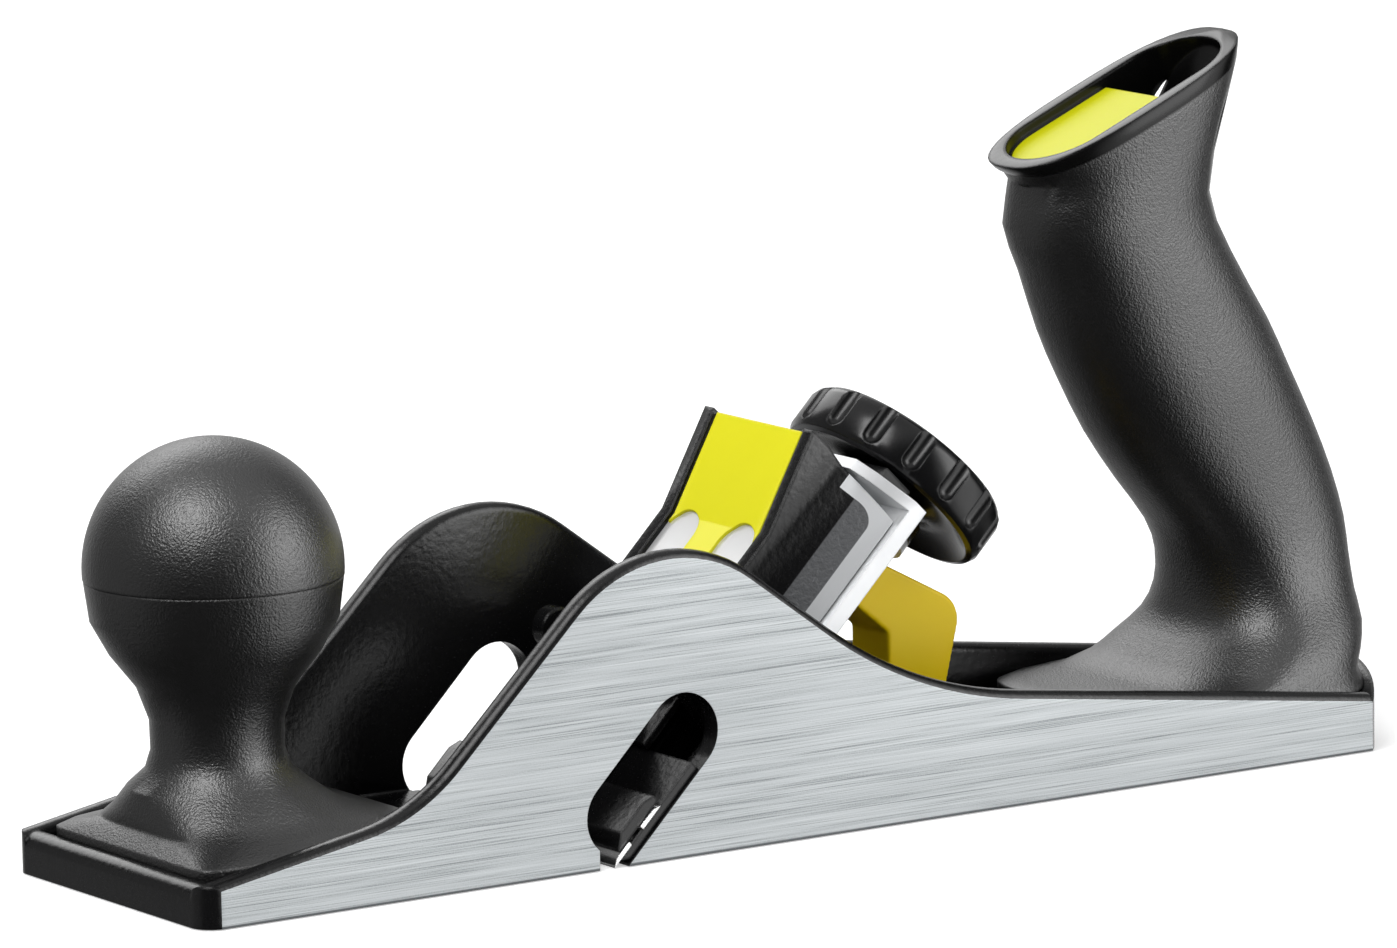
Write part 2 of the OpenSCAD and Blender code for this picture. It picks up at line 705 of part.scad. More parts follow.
// A strip that follows the deck and its bend, from start to the cap's end
module deck_strip(start, lift, gauge) {
    kink = gauge * tan(bend_a / 2);
    polygon([
        [start, deck_n + lift], [bend_s - lift * tan(bend_a / 2), deck_n + lift],
        [cap_end - 0.4, deck_n + lift + rise - 0.1], [cap_end - 0.4, deck_n + lift + rise - 0.1 + gauge],
        [bend_s - lift * tan(bend_a / 2) - kink, deck_n + lift + gauge], [start, deck_n + lift + gauge]
    ]);
}

plate_half = cap_half - side_rim - 0.1;
label_half = plate_half - 0.7;

module pressure_plate() {
    color([0.85, 0.86, 0.87]) on_bed() across(2 * plate_half) deck_strip(skirt_s + 3, 0, plate_gauge);
}

module label_plate() {
    arch_r = 4.6;
    arch_s = bend_s + 1 - arch_r;
    arch_y = label_half - arch_r + 0.3;
    stem_s = skirt_s + 3;
    color([0.95, 0.86, 0.08]) on_bed() difference() {
        union() {
            across(2 * label_half) deck_strip(bend_s - 6, plate_gauge, label_gauge);
            intersection() {
                across(9) deck_strip(stem_s, plate_gauge, label_gauge);
                linear_extrude(30)
                    polygon([[stem_s, -2.6], [stem_s, 2.6], [bend_s, 4.4], [bend_s + 2, 0], [bend_s, -4.4]]);
            }
        }
        for (y = [-arch_y, arch_y]) {
            translate([arch_s, y, 0]) cylinder(h = 20, r = arch_r);
            translate([skirt_s, y > 0 ? y - arch_r : y - arch_r - 4, 0])
                cube([arch_s - skirt_s, 2 * arch_r + 4, 20]);
        }
    }
}

travel_up = 1.2;

// Clamp foot: a bar over the full width with a ribbed hump in the middle
module clamp_foot() {
    bottom = blade_t + 0.1;
    pocket_s = blade_l + travel_up + 0.6;
    color([0.08, 0.08, 0.08]) on_bed() difference() {
        union() {
            across(body_w - 1.4)
                polygon([[2.6, bottom], [13.4, bottom], [13.4, 2], [11.2, 2.9], [5, 2.9], [2.6, 1.3]]);
            for (y = [-12, -1.5, 9]) translate([0, y + 3, 0]) rotate([90, 0, 0]) linear_extrude(3)
                polygon([
                    [5, bottom], [5, 8.6], [6.6, 11.2], [9, 12], [17.5, 12], [20, 11], [26, 4],
                    [30, 1.7], [30, gap], [pocket_s, gap], [pocket_s, bottom]
                ]);
            across(24) polygon([[7, bottom], [7, 5], [9, 6.4], [16, 6.4], [27, 1.7], [27, gap],
                [pocket_s, gap], [pocket_s, bottom]]);
            across(2 * ear_y - 2 * gap) polygon([[22, gap], [22, 1.7], [pivot_s + 3.5, 1.7], [pivot_s + 3.5, gap]]);
            translate([post_s, 0, gap]) cylinder(h = 6.4, r = post_r + 2.5);
        }
        translate([post_s, 0, -1]) cylinder(h = 6.6, r = post_r + running);
    }
}

module blade() {
    bevel = 1.3;
    color([0.85, 0.86, 0.88]) on_bed() difference() {
        across(blade_w)
            polygon([[0, 0], [bevel, blade_t], [blade_l - bevel, blade_t], [blade_l, 0]]);
        for (y = [-15, 15]) translate([blade_l / 2, y, -1]) cylinder(h = 3, r = 2);
        for (y = [-1, 1]) translate([blade_l / 2, y * blade_w / 2, -1]) cylinder(h = 3, r = 1.6);
    }
}

tail_end = 78;
nut_s = 52;
nut_l = 8;
arm_half = 3;
finger_s = 73;
finger_r = 1.9;

module blade_carrier() {
    side = body_w - 1.4;
    stroke = travel_up + 0.1;
    color([0.1, 0.1, 0.1]) on_bed() {
        difference() {
            union() {
                across(side) polygon([[1.4, 0], [3.2, -plate_t], [22, -plate_t], [22, 0]]);
                translate([21, -13.6, -plate_t]) cube([tail_end - 21, 27.2, plate_t]);
            }
            translate([0, 0, -5]) linear_extrude(10) {
                oval_slot(post_s, post_r + 0.1, stroke);
                oval_slot(finger_s, finger_r + 0.2, stroke);
            }
            translate([nut_s + 1.5 - 0.1, -arm_half - 1, -5]) cube([5.2, 2 * arm_half + 2, 10]);
        }
        for (y = [-15, 15]) translate([blade_l / 2, y, -1]) cylinder(h = 1 + blade_t - 0.05, r = 1.9);
    }
}

module oval_slot(s, half, stroke) {
    for (d = [-stroke, stroke]) translate([s + d, 0]) circle(half);
    translate([s - stroke, -half]) square([2 * stroke, 2 * half]);
}

module drive_nut() {
    color([0.8, 0.65, 0.3]) on_bed() difference() {
        union() {
            translate([nut_s, -6, -screw_n - 5]) cube([nut_l, 12, 10]);
            translate([nut_s + 1.5, -arm_half, -screw_n]) cube([5, 2 * arm_half, screw_n - gap]);
        }
        translate([nut_s - 1, 0, -screw_n]) rod(screw_r + running, nut_l + 2);
    }
}

collar_s = thrust_s + collar_t;
wheel_s = collar_s + 0.8;

module adjusting_screw() {
    color([0.75, 0.76, 0.78]) on_bed() translate([0, 0, -screw_n]) difference() {
        union() {
            translate([46, 0, 0]) rod(screw_r, wheel_s + wheel_t - 46);
            translate([collar_s + 0.1, 0, 0]) rod(screw_r + 2, 0.6);
        }
        translate([wheel_s + wheel_t - 6, 0, 0]) rod(1.05, 7);
    }
}

module depth_wheel() {
    color([0.12, 0.12, 0.12]) on_bed() translate([wheel_s, 0, -screw_n]) rotate([0, 90, 0]) difference() {
        rotate_extrude($fn = 120) difference() {
            polygon([
                [screw_r + 0.02, 0], [6, 0], [9, 1.6], [13, 2.2], [wheel_r - 3, 0.6], [wheel_r - 1.4, 0],
                [wheel_r, 1.4], [wheel_r, wheel_t - 3.4], [wheel_r - 3.2, wheel_t - 0.6],
                [wheel_r - 5, wheel_t], [screw_r + 0.02, wheel_t]
            ]);
            translate([9, wheel_t + 3]) circle(5.5);
        }
        for (i = [0 : notches - 1]) rotate([0, 0, 360 * (i + 0.5) / notches])
            translate([wheel_r + 1.1, 0, 2]) rotate([0, -12, 0]) cylinder(h = wheel_t + 4, r = 2.3);
    }
}

module wheel_screw() {
    color([0.7, 0.7, 0.72]) on_bed() translate([wheel_s + wheel_t, 0, -screw_n]) {
        rod(4, 1.8);
        translate([-5, 0, 0]) rod(1, 5.2);
    }
}

module thrust_collar() {
    color([0.08, 0.08, 0.08]) on_bed() difference() {
        union() {
            translate([thrust_s, 0, -screw_n]) rod(collar_r, collar_t);
            translate([thrust_s, 0, 0]) along(collar_t) polygon([
                [0.8 - collar_r, -screw_n - 1], [-collar_screw_y - 3.5, -12], [-collar_screw_y - 3.5, -5.6],
                [collar_screw_y + 3.5, -5.6], [collar_screw_y + 3.5, -12], [collar_r - 0.8, -screw_n - 1]
            ]);
        }
        translate([thrust_s - 1, 0, -screw_n]) rod(screw_r + running, collar_t + 2);
        for (y = [-1, 1]) translate([thrust_s - 1, y * collar_screw_y, collar_screw_n]) {
            rod(1.6, collar_t + 2);
            translate([collar_t - 0.4, 0, 0]) rod(2.9, 4);
        }
    }
}

module collar_screws() {
    color([0.7, 0.7, 0.72]) on_bed() for (y = [-1, 1])
        translate([thrust_s, y * collar_screw_y, collar_screw_n]) {
            translate([-1.8, 0, 0]) rod(1.5, collar_t + 0.8);
            translate([collar_t - 1.4, 0, 0]) rod(2.7, 1.3);
        }
}

lever_s = 68.4;
lever_l = 9;

module lateral_lever() {
    color([0.95, 0.82, 0.1]) difference() {
        union() {
            on_bed() translate([lever_s, 0, -screw_n]) rod(hub_r, lever_l);
            from_toe() across(tab_t) {
                hull() {
                    translate([145.5, 35.5]) circle(4.2);
                    translate([151.3, 28]) circle(2.2);
                    translate([158.6, 27.4]) circle(5.2);
                    translate([150, 31]) circle(3);
                }
                hull() {
                    translate([158.6, 27.4]) circle(5.2);
                    translate([152.6, 15]) circle(3.2);
                    translate([157.3, 15.6]) circle(3.6);
                    translate([151.6, 26]) circle(2.2);
                }
            }
        }
        on_bed() {
            translate([lever_s - 1, 0, -screw_n]) rod(tube_r + running, lever_l + 8);
            translate([finger_s, 0, -screw_n]) cylinder(h = hub_r + 2, r = finger_r + 0.01);
        }
    }
}

module lever_pin() {
    color([0.75, 0.75, 0.77]) on_bed() translate([finger_s, 0, 0.3 - screw_n + tube_r])
        cylinder(h = screw_n - tube_r - 0.7, r = finger_r);
}

body();
knob_base();
knob_cap();
knob_bolt();
knob_washer();
handle();
handle_bolt();
handle_washer();
blade_drawer();
spare_blades();
frog();
frog_screws();
frog_washers();
lever_cap();
cap_pin();
pressure_plate();
label_plate();
clamp_foot();
blade();
blade_carrier();
drive_nut();
adjusting_screw();
depth_wheel();
wheel_screw();
thrust_collar();
collar_screws();
lateral_lever();
lever_pin();
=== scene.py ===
import json
import math
import bmesh
import bpy
from mathutils import Matrix, Vector


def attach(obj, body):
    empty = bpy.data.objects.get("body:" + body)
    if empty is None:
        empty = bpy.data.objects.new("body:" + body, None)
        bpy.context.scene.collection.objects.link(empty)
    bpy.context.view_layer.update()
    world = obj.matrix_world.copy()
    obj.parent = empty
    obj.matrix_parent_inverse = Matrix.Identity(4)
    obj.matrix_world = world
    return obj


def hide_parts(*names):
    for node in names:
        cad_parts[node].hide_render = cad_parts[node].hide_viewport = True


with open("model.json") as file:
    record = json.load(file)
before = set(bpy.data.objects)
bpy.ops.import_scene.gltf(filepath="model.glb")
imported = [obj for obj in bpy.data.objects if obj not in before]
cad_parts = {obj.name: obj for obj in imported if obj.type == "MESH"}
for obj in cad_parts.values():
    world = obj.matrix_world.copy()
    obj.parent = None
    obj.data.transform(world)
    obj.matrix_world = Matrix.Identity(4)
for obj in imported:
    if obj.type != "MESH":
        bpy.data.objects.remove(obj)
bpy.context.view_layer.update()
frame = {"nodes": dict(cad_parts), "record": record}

nodes = frame["nodes"]
print("frame loaded:", len(nodes), "nodes")

# Helpers

def perMetre(millimetres):
    return 1000.0 / millimetres  # pattern scale for a feature of that size

def paint(hexColour):
    channels = [int(hexColour[i:i + 2], 16) / 255 for i in (1, 3, 5)]
    toLinear = [c / 12.92 if c <= 0.04045 else ((c + 0.055) / 1.055) ** 2.4 for c in channels]
    return (*toLinear, 1.0)

# Adds a node. An input takes a value, a socket, or a node whose first enabled output is linked
def add(tree, kind, inputs=None, **settings):
    made = tree.nodes.new(kind)
    for name, value in settings.items():
        setattr(made, name, value)
    for name, value in (inputs or {}).items():
        if isinstance(value, bpy.types.Node):
            value = next(socket for socket in value.outputs if socket.enabled)
        if isinstance(value, bpy.types.NodeSocket):
            tree.links.new(value, made.inputs[name])
        else:
            made.inputs[name].default_value = value
    return made

# Inputs of a Map Range node that takes low to fromZero and high to toOne
def span(value, low, high, fromZero=0.0, toOne=1.0):
    return {"Value": value, "From Min": low, "From Max": high, "To Min": fromZero, "To Max": toOne}

def setStops(made, stops):
    elements = made.color_ramp.elements
    while len(elements) < len(stops):
        elements.new(0.5)
    for element, (place, colour) in zip(elements, stops):
        element.position = place
        element.color = paint(colour)
    return made

def newMaterial(name):
    made = bpy.data.materials.new(name)
    made.use_nodes = True
    made.node_tree.nodes.clear()
    return made, made.node_tree, add(made.node_tree, "ShaderNodeTexCoord").outputs["Object"]

# Bump over edges that look rounded by the given radius
def bump(tree, height, depthMm, strength, roundMm=0.4):
    soft = add(tree, "ShaderNodeBevel", {"Radius": roundMm / 1000}, samples=4)
    return add(tree, "ShaderNodeBump", {
        "Height": height, "Distance": depthMm / 1000, "Strength": strength, "Normal": soft})

# Distance in millimetres along a direction, from a plane through the origin moved by offset
def along(tree, coords, direction, offset=0.0):
    inMillimetres = tuple(1000 * part for part in direction)
    dot = add(tree, "ShaderNodeVectorMath", {0: coords, 1: inMillimetres}, operation="DOT_PRODUCT")
    return add(tree, "ShaderNodeMath", {0: dot, 1: offset}, operation="SUBTRACT")

# Distance in millimetres from the centre plane
def sideways(tree, coords):
    return add(tree, "ShaderNodeMath", {0: along(tree, coords, (0.0, 1.0, 0.0))}, operation="ABSOLUTE")

def lengthOf(tree, first, second):
    flat = add(tree, "ShaderNodeCombineXYZ", {"X": first, "Y": second})
    return add(tree, "ShaderNodeVectorMath", {0: flat}, operation="LENGTH")

edgeHighlightLook = {"low": 0.515, "high": 0.56}

# How far a point stands on a convex edge, 0 inside and 1 on the edge; it sets where a lighter colour is
# painted on as a painted highlight
def edgeHighlightMask(tree):
    point = add(tree, "ShaderNodeNewGeometry").outputs["Pointiness"]
    return add(tree, "ShaderNodeMapRange", span(point, edgeHighlightLook["low"], edgeHighlightLook["high"]))

# The blade's bed, sloping at 45 degrees from an edge on the sole, in millimetres
bed = {"root": math.sqrt(0.5), "edge": -44.25}

# Place up the bed and height square to it, in millimetres
def bedFrame(tree, coords):
    root, shift = bed["root"], bed["edge"] * bed["root"]
    s = along(tree, coords, (root, 0.0, root), shift)
    n = along(tree, coords, (-root, 0.0, root), -shift)
    return s, n

# Materials

gripLook = {
    "colour": "#090909", "pale": "#0f0f10", "cloudMm": 18.0, "grainMm": 0.6, "fineMm": 0.34,
    "depthMm": 0.3, "bump": 0.6, "roundMm": 0.7, "rough": 0.36, "ior": 1.6, "sheen": 1.0,
    "rimRough": 0.2, "rimSheen": 0.3, "rimDepthMm": 0.01, "rimBump": 0.3, "rimRoundMm": 0.8,
    "lineMm": 0.16, "line": "#040404", "lineBefore": -110.0,
}
rim = {
    "x": 78.75, "z": 112.0, "tilt": math.radians(23), "half": 22.4, "wellHalf": 10.6, "bandMm": 2.4,
    "softMm": 0.4, "reach": 30.0, "deep": -25.0,
}

# Height over the handle's rim and place along it, in millimetres
def rimFrame(tree, coords):
    sine, cosine = math.sin(rim["tilt"]), math.cos(rim["tilt"])
    height = along(tree, coords, (-sine, 0.0, cosine), cosine * rim["z"] - sine * rim["x"])
    reach = along(tree, coords, (cosine, 0.0, sine), sine * rim["z"] + cosine * rim["x"])
    return height, reach

# The polished rim and the well under it. The outside of the neck within the well's oval is taken in too
def rimMask(tree, coords):
    height, reach = rimFrame(tree, coords)
    away = add(tree, "ShaderNodeMath", {0: reach}, operation="ABSOLUTE")
    band = add(tree, "ShaderNodeMapRange", span(height, -rim["bandMm"] - rim["softMm"], -rim["bandMm"]))
    near = add(tree, "ShaderNodeMath", {0: away, 1: rim["reach"]}, operation="LESS_THAN")
    top = add(tree, "ShaderNodeMath", {0: band, 1: near}, operation="MULTIPLY")
    straight = rim["half"] - rim["wellHalf"]
    beyond = add(tree, "ShaderNodeMath", {0: away, 1: straight}, operation="SUBTRACT")
    past = add(tree, "ShaderNodeMath", {0: beyond, 1: 0.0}, operation="MAXIMUM")
    distance = lengthOf(tree, past, along(tree, coords, (0.0, 1.0, 0.0)))
    inside = add(tree, "ShaderNodeMath", {0: distance, 1: rim["wellHalf"]}, operation="LESS_THAN")
    above = add(tree, "ShaderNodeMath", {0: height, 1: rim["deep"]}, operation="GREATER_THAN")
    well = add(tree, "ShaderNodeMath", {0: inside, 1: above}, operation="MULTIPLY")
    return add(tree, "ShaderNodeMath", {0: top, 1: well}, operation="MAXIMUM")

# Moulded glass-filled nylon: near black, with a fine even grain and a polished rim
def mouldedGrip():
    made, tree, coords = newMaterial("mouldedNylonGrip")
    coarse = add(tree, "ShaderNodeTexNoise", {
        "Vector": coords, "Scale": perMetre(gripLook["grainMm"]), "Detail": 2.0, "Roughness": 0.6})
    fine = add(tree, "ShaderNodeTexNoise", {
        "Vector": coords, "Scale": perMetre(gripLook["fineMm"]), "Detail": 1.0, "Roughness": 0.5})
    cloud = add(tree, "ShaderNodeTexNoise", {
        "Vector": coords, "Scale": perMetre(gripLook["cloudMm"]), "Detail": 3.0, "Roughness": 0.5})
    half = add(tree, "ShaderNodeMath", {0: coarse, 1: 0.5}, operation="MULTIPLY")
    otherHalf = add(tree, "ShaderNodeMath", {0: fine, 1: 0.5}, operation="MULTIPLY")
    grain = add(tree, "ShaderNodeMath", {0: half, 1: otherHalf}, operation="ADD")
    width = gripLook["lineMm"]
    line = add(tree, "ShaderNodeMapRange", span(sideways(tree, coords), width, width / 2))
    place = along(tree, coords, (1.0, 0.0, 0.0))
    front = add(tree, "ShaderNodeMath", {0: place, 1: gripLook["lineBefore"]}, operation="LESS_THAN")
    mould = add(tree, "ShaderNodeMath", {0: line, 1: front}, operation="MULTIPLY")
    skinTone = add(tree, "ShaderNodeMix", {
        "Factor": cloud, 6: paint(gripLook["colour"]), 7: paint(gripLook["pale"])}, data_type="RGBA")
    base = add(tree, "ShaderNodeMix", {
        "Factor": mould, 6: skinTone, 7: paint(gripLook["line"])}, data_type="RGBA")
    rough = add(tree, "ShaderNodeMapRange", {
        "Value": grain, "To Min": gripLook["rough"] - 0.05, "To Max": gripLook["rough"] + 0.08})
    skin = add(tree, "ShaderNodeBsdfPrincipled", {
        "Base Color": base, "Roughness": rough, "IOR": gripLook["ior"],
        "Specular IOR Level": gripLook["sheen"],
        "Normal": bump(tree, grain, gripLook["depthMm"], gripLook["bump"], gripLook["roundMm"])})
    shine = add(tree, "ShaderNodeBsdfPrincipled", {
        "Base Color": paint(gripLook["colour"]), "Roughness": gripLook["rimRough"],
        "Specular IOR Level": gripLook["rimSheen"],
        "Normal": bump(tree, cloud, gripLook["rimDepthMm"], gripLook["rimBump"], gripLook["rimRoundMm"])})
    mixed = add(tree, "ShaderNodeMixShader", {0: rimMask(tree, coords), 1: skin, 2: shine})
    add(tree, "ShaderNodeOutputMaterial", {"Surface": mixed})
    return made

# The edge colour is a painted highlight along convex edges
lacquerLook = {
    "colour": "#050506", "edge": "#101011", "peelMm": 1.3, "dustMm": 0.4, "depthMm": 0.09, "bump": 0.6,
    "roundMm": 0.8, "rough": 0.2, "ior": 1.5,
}

def lacquerShader(tree, coords):
    peel = add(tree, "ShaderNodeTexNoise", {
        "Vector": coords, "Scale": perMetre(lacquerLook["peelMm"]), "Detail": 2.0, "Roughness": 0.5})
    dust = add(tree, "ShaderNodeTexNoise", {
        "Vector": coords, "Scale": perMetre(lacquerLook["dustMm"]), "Detail": 1.0, "Roughness": 0.5})
    rough = add(tree, "ShaderNodeMapRange", {
        "Value": dust, "To Min": lacquerLook["rough"] - 0.04, "To Max": lacquerLook["rough"] + 0.12})
    # Convex edges get the lighter edge colour, a painted highlight
    base = add(tree, "ShaderNodeMix", {
        "Factor": edgeHighlightMask(tree), 6: paint(lacquerLook["colour"]), 7: paint(lacquerLook["edge"])},
        data_type="RGBA")
    normal = bump(tree, peel, lacquerLook["depthMm"], lacquerLook["bump"], lacquerLook["roundMm"])
    return add(tree, "ShaderNodeBsdfPrincipled", {
        "Base Color": base, "Roughness": rough, "IOR": lacquerLook["ior"], "Normal": normal})

# Stoved black enamel on a casting: wet shine with a slight orange peel
def blackEnamel():
    made, tree, coords = newMaterial("stovedBlackEnamel")
    add(tree, "ShaderNodeOutputMaterial", {"Surface": lacquerShader(tree, coords)})
    return made

# The lines are coarser than real grinding marks, so that they show in the render
# The chamfer colour is painted shade along the bottom edge of the ground faces
groundLook = {
    "colour": "#b4b9bb", "dark": "#7c8183", "pale": "#cdd1d3", "chamferShade": "#55595b", "metallic": 0.25,
    "lineMm": 0.17, "lineDeepMm": 3.0, "runMm": 34.0, "bandMm": 1.0, "bandDeepMm": 4.0,
    "bandRunMm": 90.0, "speckMm": 0.25, "speck": 0.12, "turnDeg": 1.6, "rough": 0.34, "chamferMm": 0.5,
    "depthMm": 0.02, "bump": 0.4, "roundMm": 0.15,
}

def groundShader(tree, coords):
    turned = (0.0, math.radians(groundLook["turnDeg"]), 0.0)
    fine = add(tree, "ShaderNodeMapping", {"Vector": coords, "Rotation": turned, "Scale": (
        perMetre(groundLook["runMm"]), perMetre(groundLook["lineDeepMm"]), perMetre(groundLook["lineMm"]))})
    broad = add(tree, "ShaderNodeMapping", {"Vector": coords, "Rotation": turned, "Scale": (
        perMetre(groundLook["bandRunMm"]), perMetre(groundLook["bandDeepMm"]),
        perMetre(groundLook["bandMm"]))})
    lines = add(tree, "ShaderNodeTexNoise", {"Vector": fine, "Scale": 1.0, "Detail": 3.0, "Roughness": 0.6})
    bands = add(tree, "ShaderNodeTexNoise", {"Vector": broad, "Scale": 1.0, "Detail": 3.0, "Roughness": 0.6})
    speck = add(tree, "ShaderNodeTexNoise", {
        "Vector": coords, "Scale": perMetre(groundLook["speckMm"]), "Detail": 1.0, "Roughness": 0.5})
    lineShare = add(tree, "ShaderNodeMath", {0: lines, 1: 0.7}, operation="MULTIPLY")
    bandShare = add(tree, "ShaderNodeMath", {0: bands, 1: 0.3}, operation="MULTIPLY")
    streaks = add(tree, "ShaderNodeMath", {0: lineShare, 1: bandShare}, operation="ADD")
    centred = add(tree, "ShaderNodeMath", {0: speck, 1: 0.5}, operation="SUBTRACT")
    speckShare = add(tree, "ShaderNodeMath", {0: centred, 1: groundLook["speck"]}, operation="MULTIPLY")
    both = add(tree, "ShaderNodeMath", {0: streaks, 1: speckShare}, operation="ADD")
    tone = setStops(add(tree, "ShaderNodeValToRGB", {"Fac": both}), [
        (0.36, groundLook["dark"]), (0.47, groundLook["colour"]), (0.64, groundLook["pale"])])
    # The lowest half millimetre is painted darker grey, as painted shade where a chamfer that is not
    # modelled turns down
    height = along(tree, coords, (0.0, 0.0, 1.0))
    edge = groundLook["chamferMm"]
    chamferShade = add(tree, "ShaderNodeMapRange", span(height, edge, edge * 0.6))
    base = add(tree, "ShaderNodeMix", {
        "Factor": chamferShade, 6: tone, 7: paint(groundLook["chamferShade"])}, data_type="RGBA")
    rough = add(tree, "ShaderNodeMapRange", span(
        lines, 0.3, 0.7, groundLook["rough"] + 0.1, groundLook["rough"] - 0.05))
    normal = bump(tree, lines, groundLook["depthMm"], groundLook["bump"], groundLook["roundMm"])
    return add(tree, "ShaderNodeBsdfPrincipled", {
        "Base Color": base, "Metallic": groundLook["metallic"], "Roughness": rough, "Normal": normal})

# The band colour is painted light: a lighter grey on the lower flank facet
capLook = {
    "flank": 16.3, "bandN": -1.8, "softN": 0.1, "edgeN": -5.6, "endS": 77.0, "round": 3.2,
    "softRound": 0.05, "below": 1.0, "band": "#58595b", "rough": 0.4, "peelMm": 0.8, "depthMm": 0.22,
    "bright": "#dfe1e3", "brightRough": 0.3, "brightDepthMm": 0.01,
}

# Die-cast cap: black enamel above, a grey orange-peel band of painted light low on its flanks, and a bright
# ground edge
def leverCapCasting():
    made, tree, coords = newMaterial("enamelledCapCasting")
    s, n = bedFrame(tree, coords)
    flank = add(tree, "ShaderNodeMath", {
        0: sideways(tree, coords), 1: capLook["flank"]}, operation="GREATER_THAN")
    # Painted light: the lower flank facet is coloured lighter grey where it catches the light
    lowPart = add(tree, "ShaderNodeMapRange", span(
        n, capLook["bandN"] + capLook["softN"], capLook["bandN"] - capLook["softN"]))
    onLitBand = add(tree, "ShaderNodeMath", {0: lowPart, 1: flank}, operation="MULTIPLY")
    under = add(tree, "ShaderNodeMath", {0: capLook["edgeN"] + capLook["round"], 1: n}, operation="SUBTRACT")
    cornerS = capLook["endS"] - capLook["round"]
    beyondEnd = add(tree, "ShaderNodeMath", {0: s, 1: cornerS}, operation="SUBTRACT")
    outN = add(tree, "ShaderNodeMath", {0: under, 1: 0.0}, operation="MAXIMUM")
    outS = add(tree, "ShaderNodeMath", {0: beyondEnd, 1: 0.0}, operation="MAXIMUM")
    beyond = add(tree, "ShaderNodeMapRange", span(
        lengthOf(tree, outN, outS), capLook["round"] - capLook["softRound"],
        capLook["round"] + capLook["softRound"]))
    low = add(tree, "ShaderNodeMath", {0: n, 1: capLook["below"]}, operation="LESS_THAN")
    lowEdge = add(tree, "ShaderNodeMath", {0: beyond, 1: low}, operation="MULTIPLY")
    onEdge = add(tree, "ShaderNodeMath", {0: lowEdge, 1: flank}, operation="MULTIPLY")
    peel = add(tree, "ShaderNodeTexNoise", {
        "Vector": coords, "Scale": perMetre(capLook["peelMm"]), "Detail": 2.0, "Roughness": 0.5})
    litBand = add(tree, "ShaderNodeBsdfPrincipled", {
        "Base Color": paint(capLook["band"]), "Metallic": 0.3, "Roughness": capLook["rough"],
        "Normal": bump(tree, peel, capLook["depthMm"], 0.8, 0.5)})
    bright = add(tree, "ShaderNodeBsdfPrincipled", {
        "Base Color": paint(capLook["bright"]), "Metallic": 0.5, "Roughness": capLook["brightRough"],
        "Normal": bump(tree, peel, capLook["brightDepthMm"], 0.3, 0.2)})
    first = add(tree, "ShaderNodeMixShader", {0: onLitBand, 1: lacquerShader(tree, coords), 2: litBand})
    last = add(tree, "ShaderNodeMixShader", {0: onEdge, 1: first, 2: bright})
    add(tree, "ShaderNodeOutputMaterial", {"Surface": last})
    return made

frogLook = {
    "blackTo": 47.0, "colour": "#dcdee0", "pale": "#eff0f1", "cloudMm": 6.0, "metallic": 0.4,
    "rough": 0.3, "depthMm": 0.01,
}

# Zinc frog casting: bright satin at its upper end, black where it sits between the cheeks
def frogCasting():
    made, tree, coords = newMaterial("satinZincFrog")
    s = bedFrame(tree, coords)[0]
    cloud = add(tree, "ShaderNodeTexNoise", {
        "Vector": coords, "Scale": perMetre(frogLook["cloudMm"]), "Detail": 3.0, "Roughness": 0.5})
    tone = add(tree, "ShaderNodeMix", {
        "Factor": cloud, 6: paint(frogLook["colour"]), 7: paint(frogLook["pale"])}, data_type="RGBA")
    bright = add(tree, "ShaderNodeBsdfPrincipled", {
        "Base Color": tone, "Metallic": frogLook["metallic"], "Roughness": frogLook["rough"],
        "Normal": bump(tree, cloud, frogLook["depthMm"], 0.3, 0.3)})
    onBlack = add(tree, "ShaderNodeMath", {0: s, 1: frogLook["blackTo"]}, operation="LESS_THAN")
    mixed = add(tree, "ShaderNodeMixShader", {0: onBlack, 1: bright, 2: lacquerShader(tree, coords)})
    add(tree, "ShaderNodeOutputMaterial", {"Surface": mixed})
    return made

bodyLook = {"cheekMm": 29.94, "soleMm": 0.04}

# Cast body: cheeks and sole surface-ground to bright streaks, all else black enamel
def groundCasting():
    made, tree, coords = newMaterial("groundCastBody")
    onCheek = add(tree, "ShaderNodeMath", {
        0: sideways(tree, coords), 1: bodyLook["cheekMm"]}, operation="GREATER_THAN")
    height = along(tree, coords, (0.0, 0.0, 1.0))
    onSole = add(tree, "ShaderNodeMath", {0: height, 1: bodyLook["soleMm"]}, operation="LESS_THAN")
    ground = add(tree, "ShaderNodeMath", {0: onCheek, 1: onSole}, operation="MAXIMUM")
    mixed = add(tree, "ShaderNodeMixShader", {
        0: ground, 1: lacquerShader(tree, coords), 2: groundShader(tree, coords)})
    add(tree, "ShaderNodeOutputMaterial", {"Surface": mixed})
    return made

def plasticMaterial(name, look):
    made, tree, coords = newMaterial(name)
    cloud = add(tree, "ShaderNodeTexNoise", {
        "Vector": coords, "Scale": perMetre(look["cloudMm"]), "Detail": 3.0, "Roughness": 0.5})
    grain = add(tree, "ShaderNodeTexNoise", {
        "Vector": coords, "Scale": perMetre(look["grainMm"]), "Detail": 2.0, "Roughness": 0.5})
    base = add(tree, "ShaderNodeMix", {
        "Factor": cloud, 6: paint(look["colour"]), 7: paint(look["pale"])}, data_type="RGBA")
    rough = add(tree, "ShaderNodeMapRange", {
        "Value": grain, "To Min": look["rough"] - 0.04, "To Max": look["rough"] + 0.06})
    skin = add(tree, "ShaderNodeBsdfPrincipled", {
        "Base Color": base, "Roughness": rough, "IOR": 1.49, "Specular IOR Level": look.get("sheen", 0.5),
        "Normal": bump(tree, grain, look["depthMm"], 0.5)})
    add(tree, "ShaderNodeOutputMaterial", {"Surface": skin})
    return made

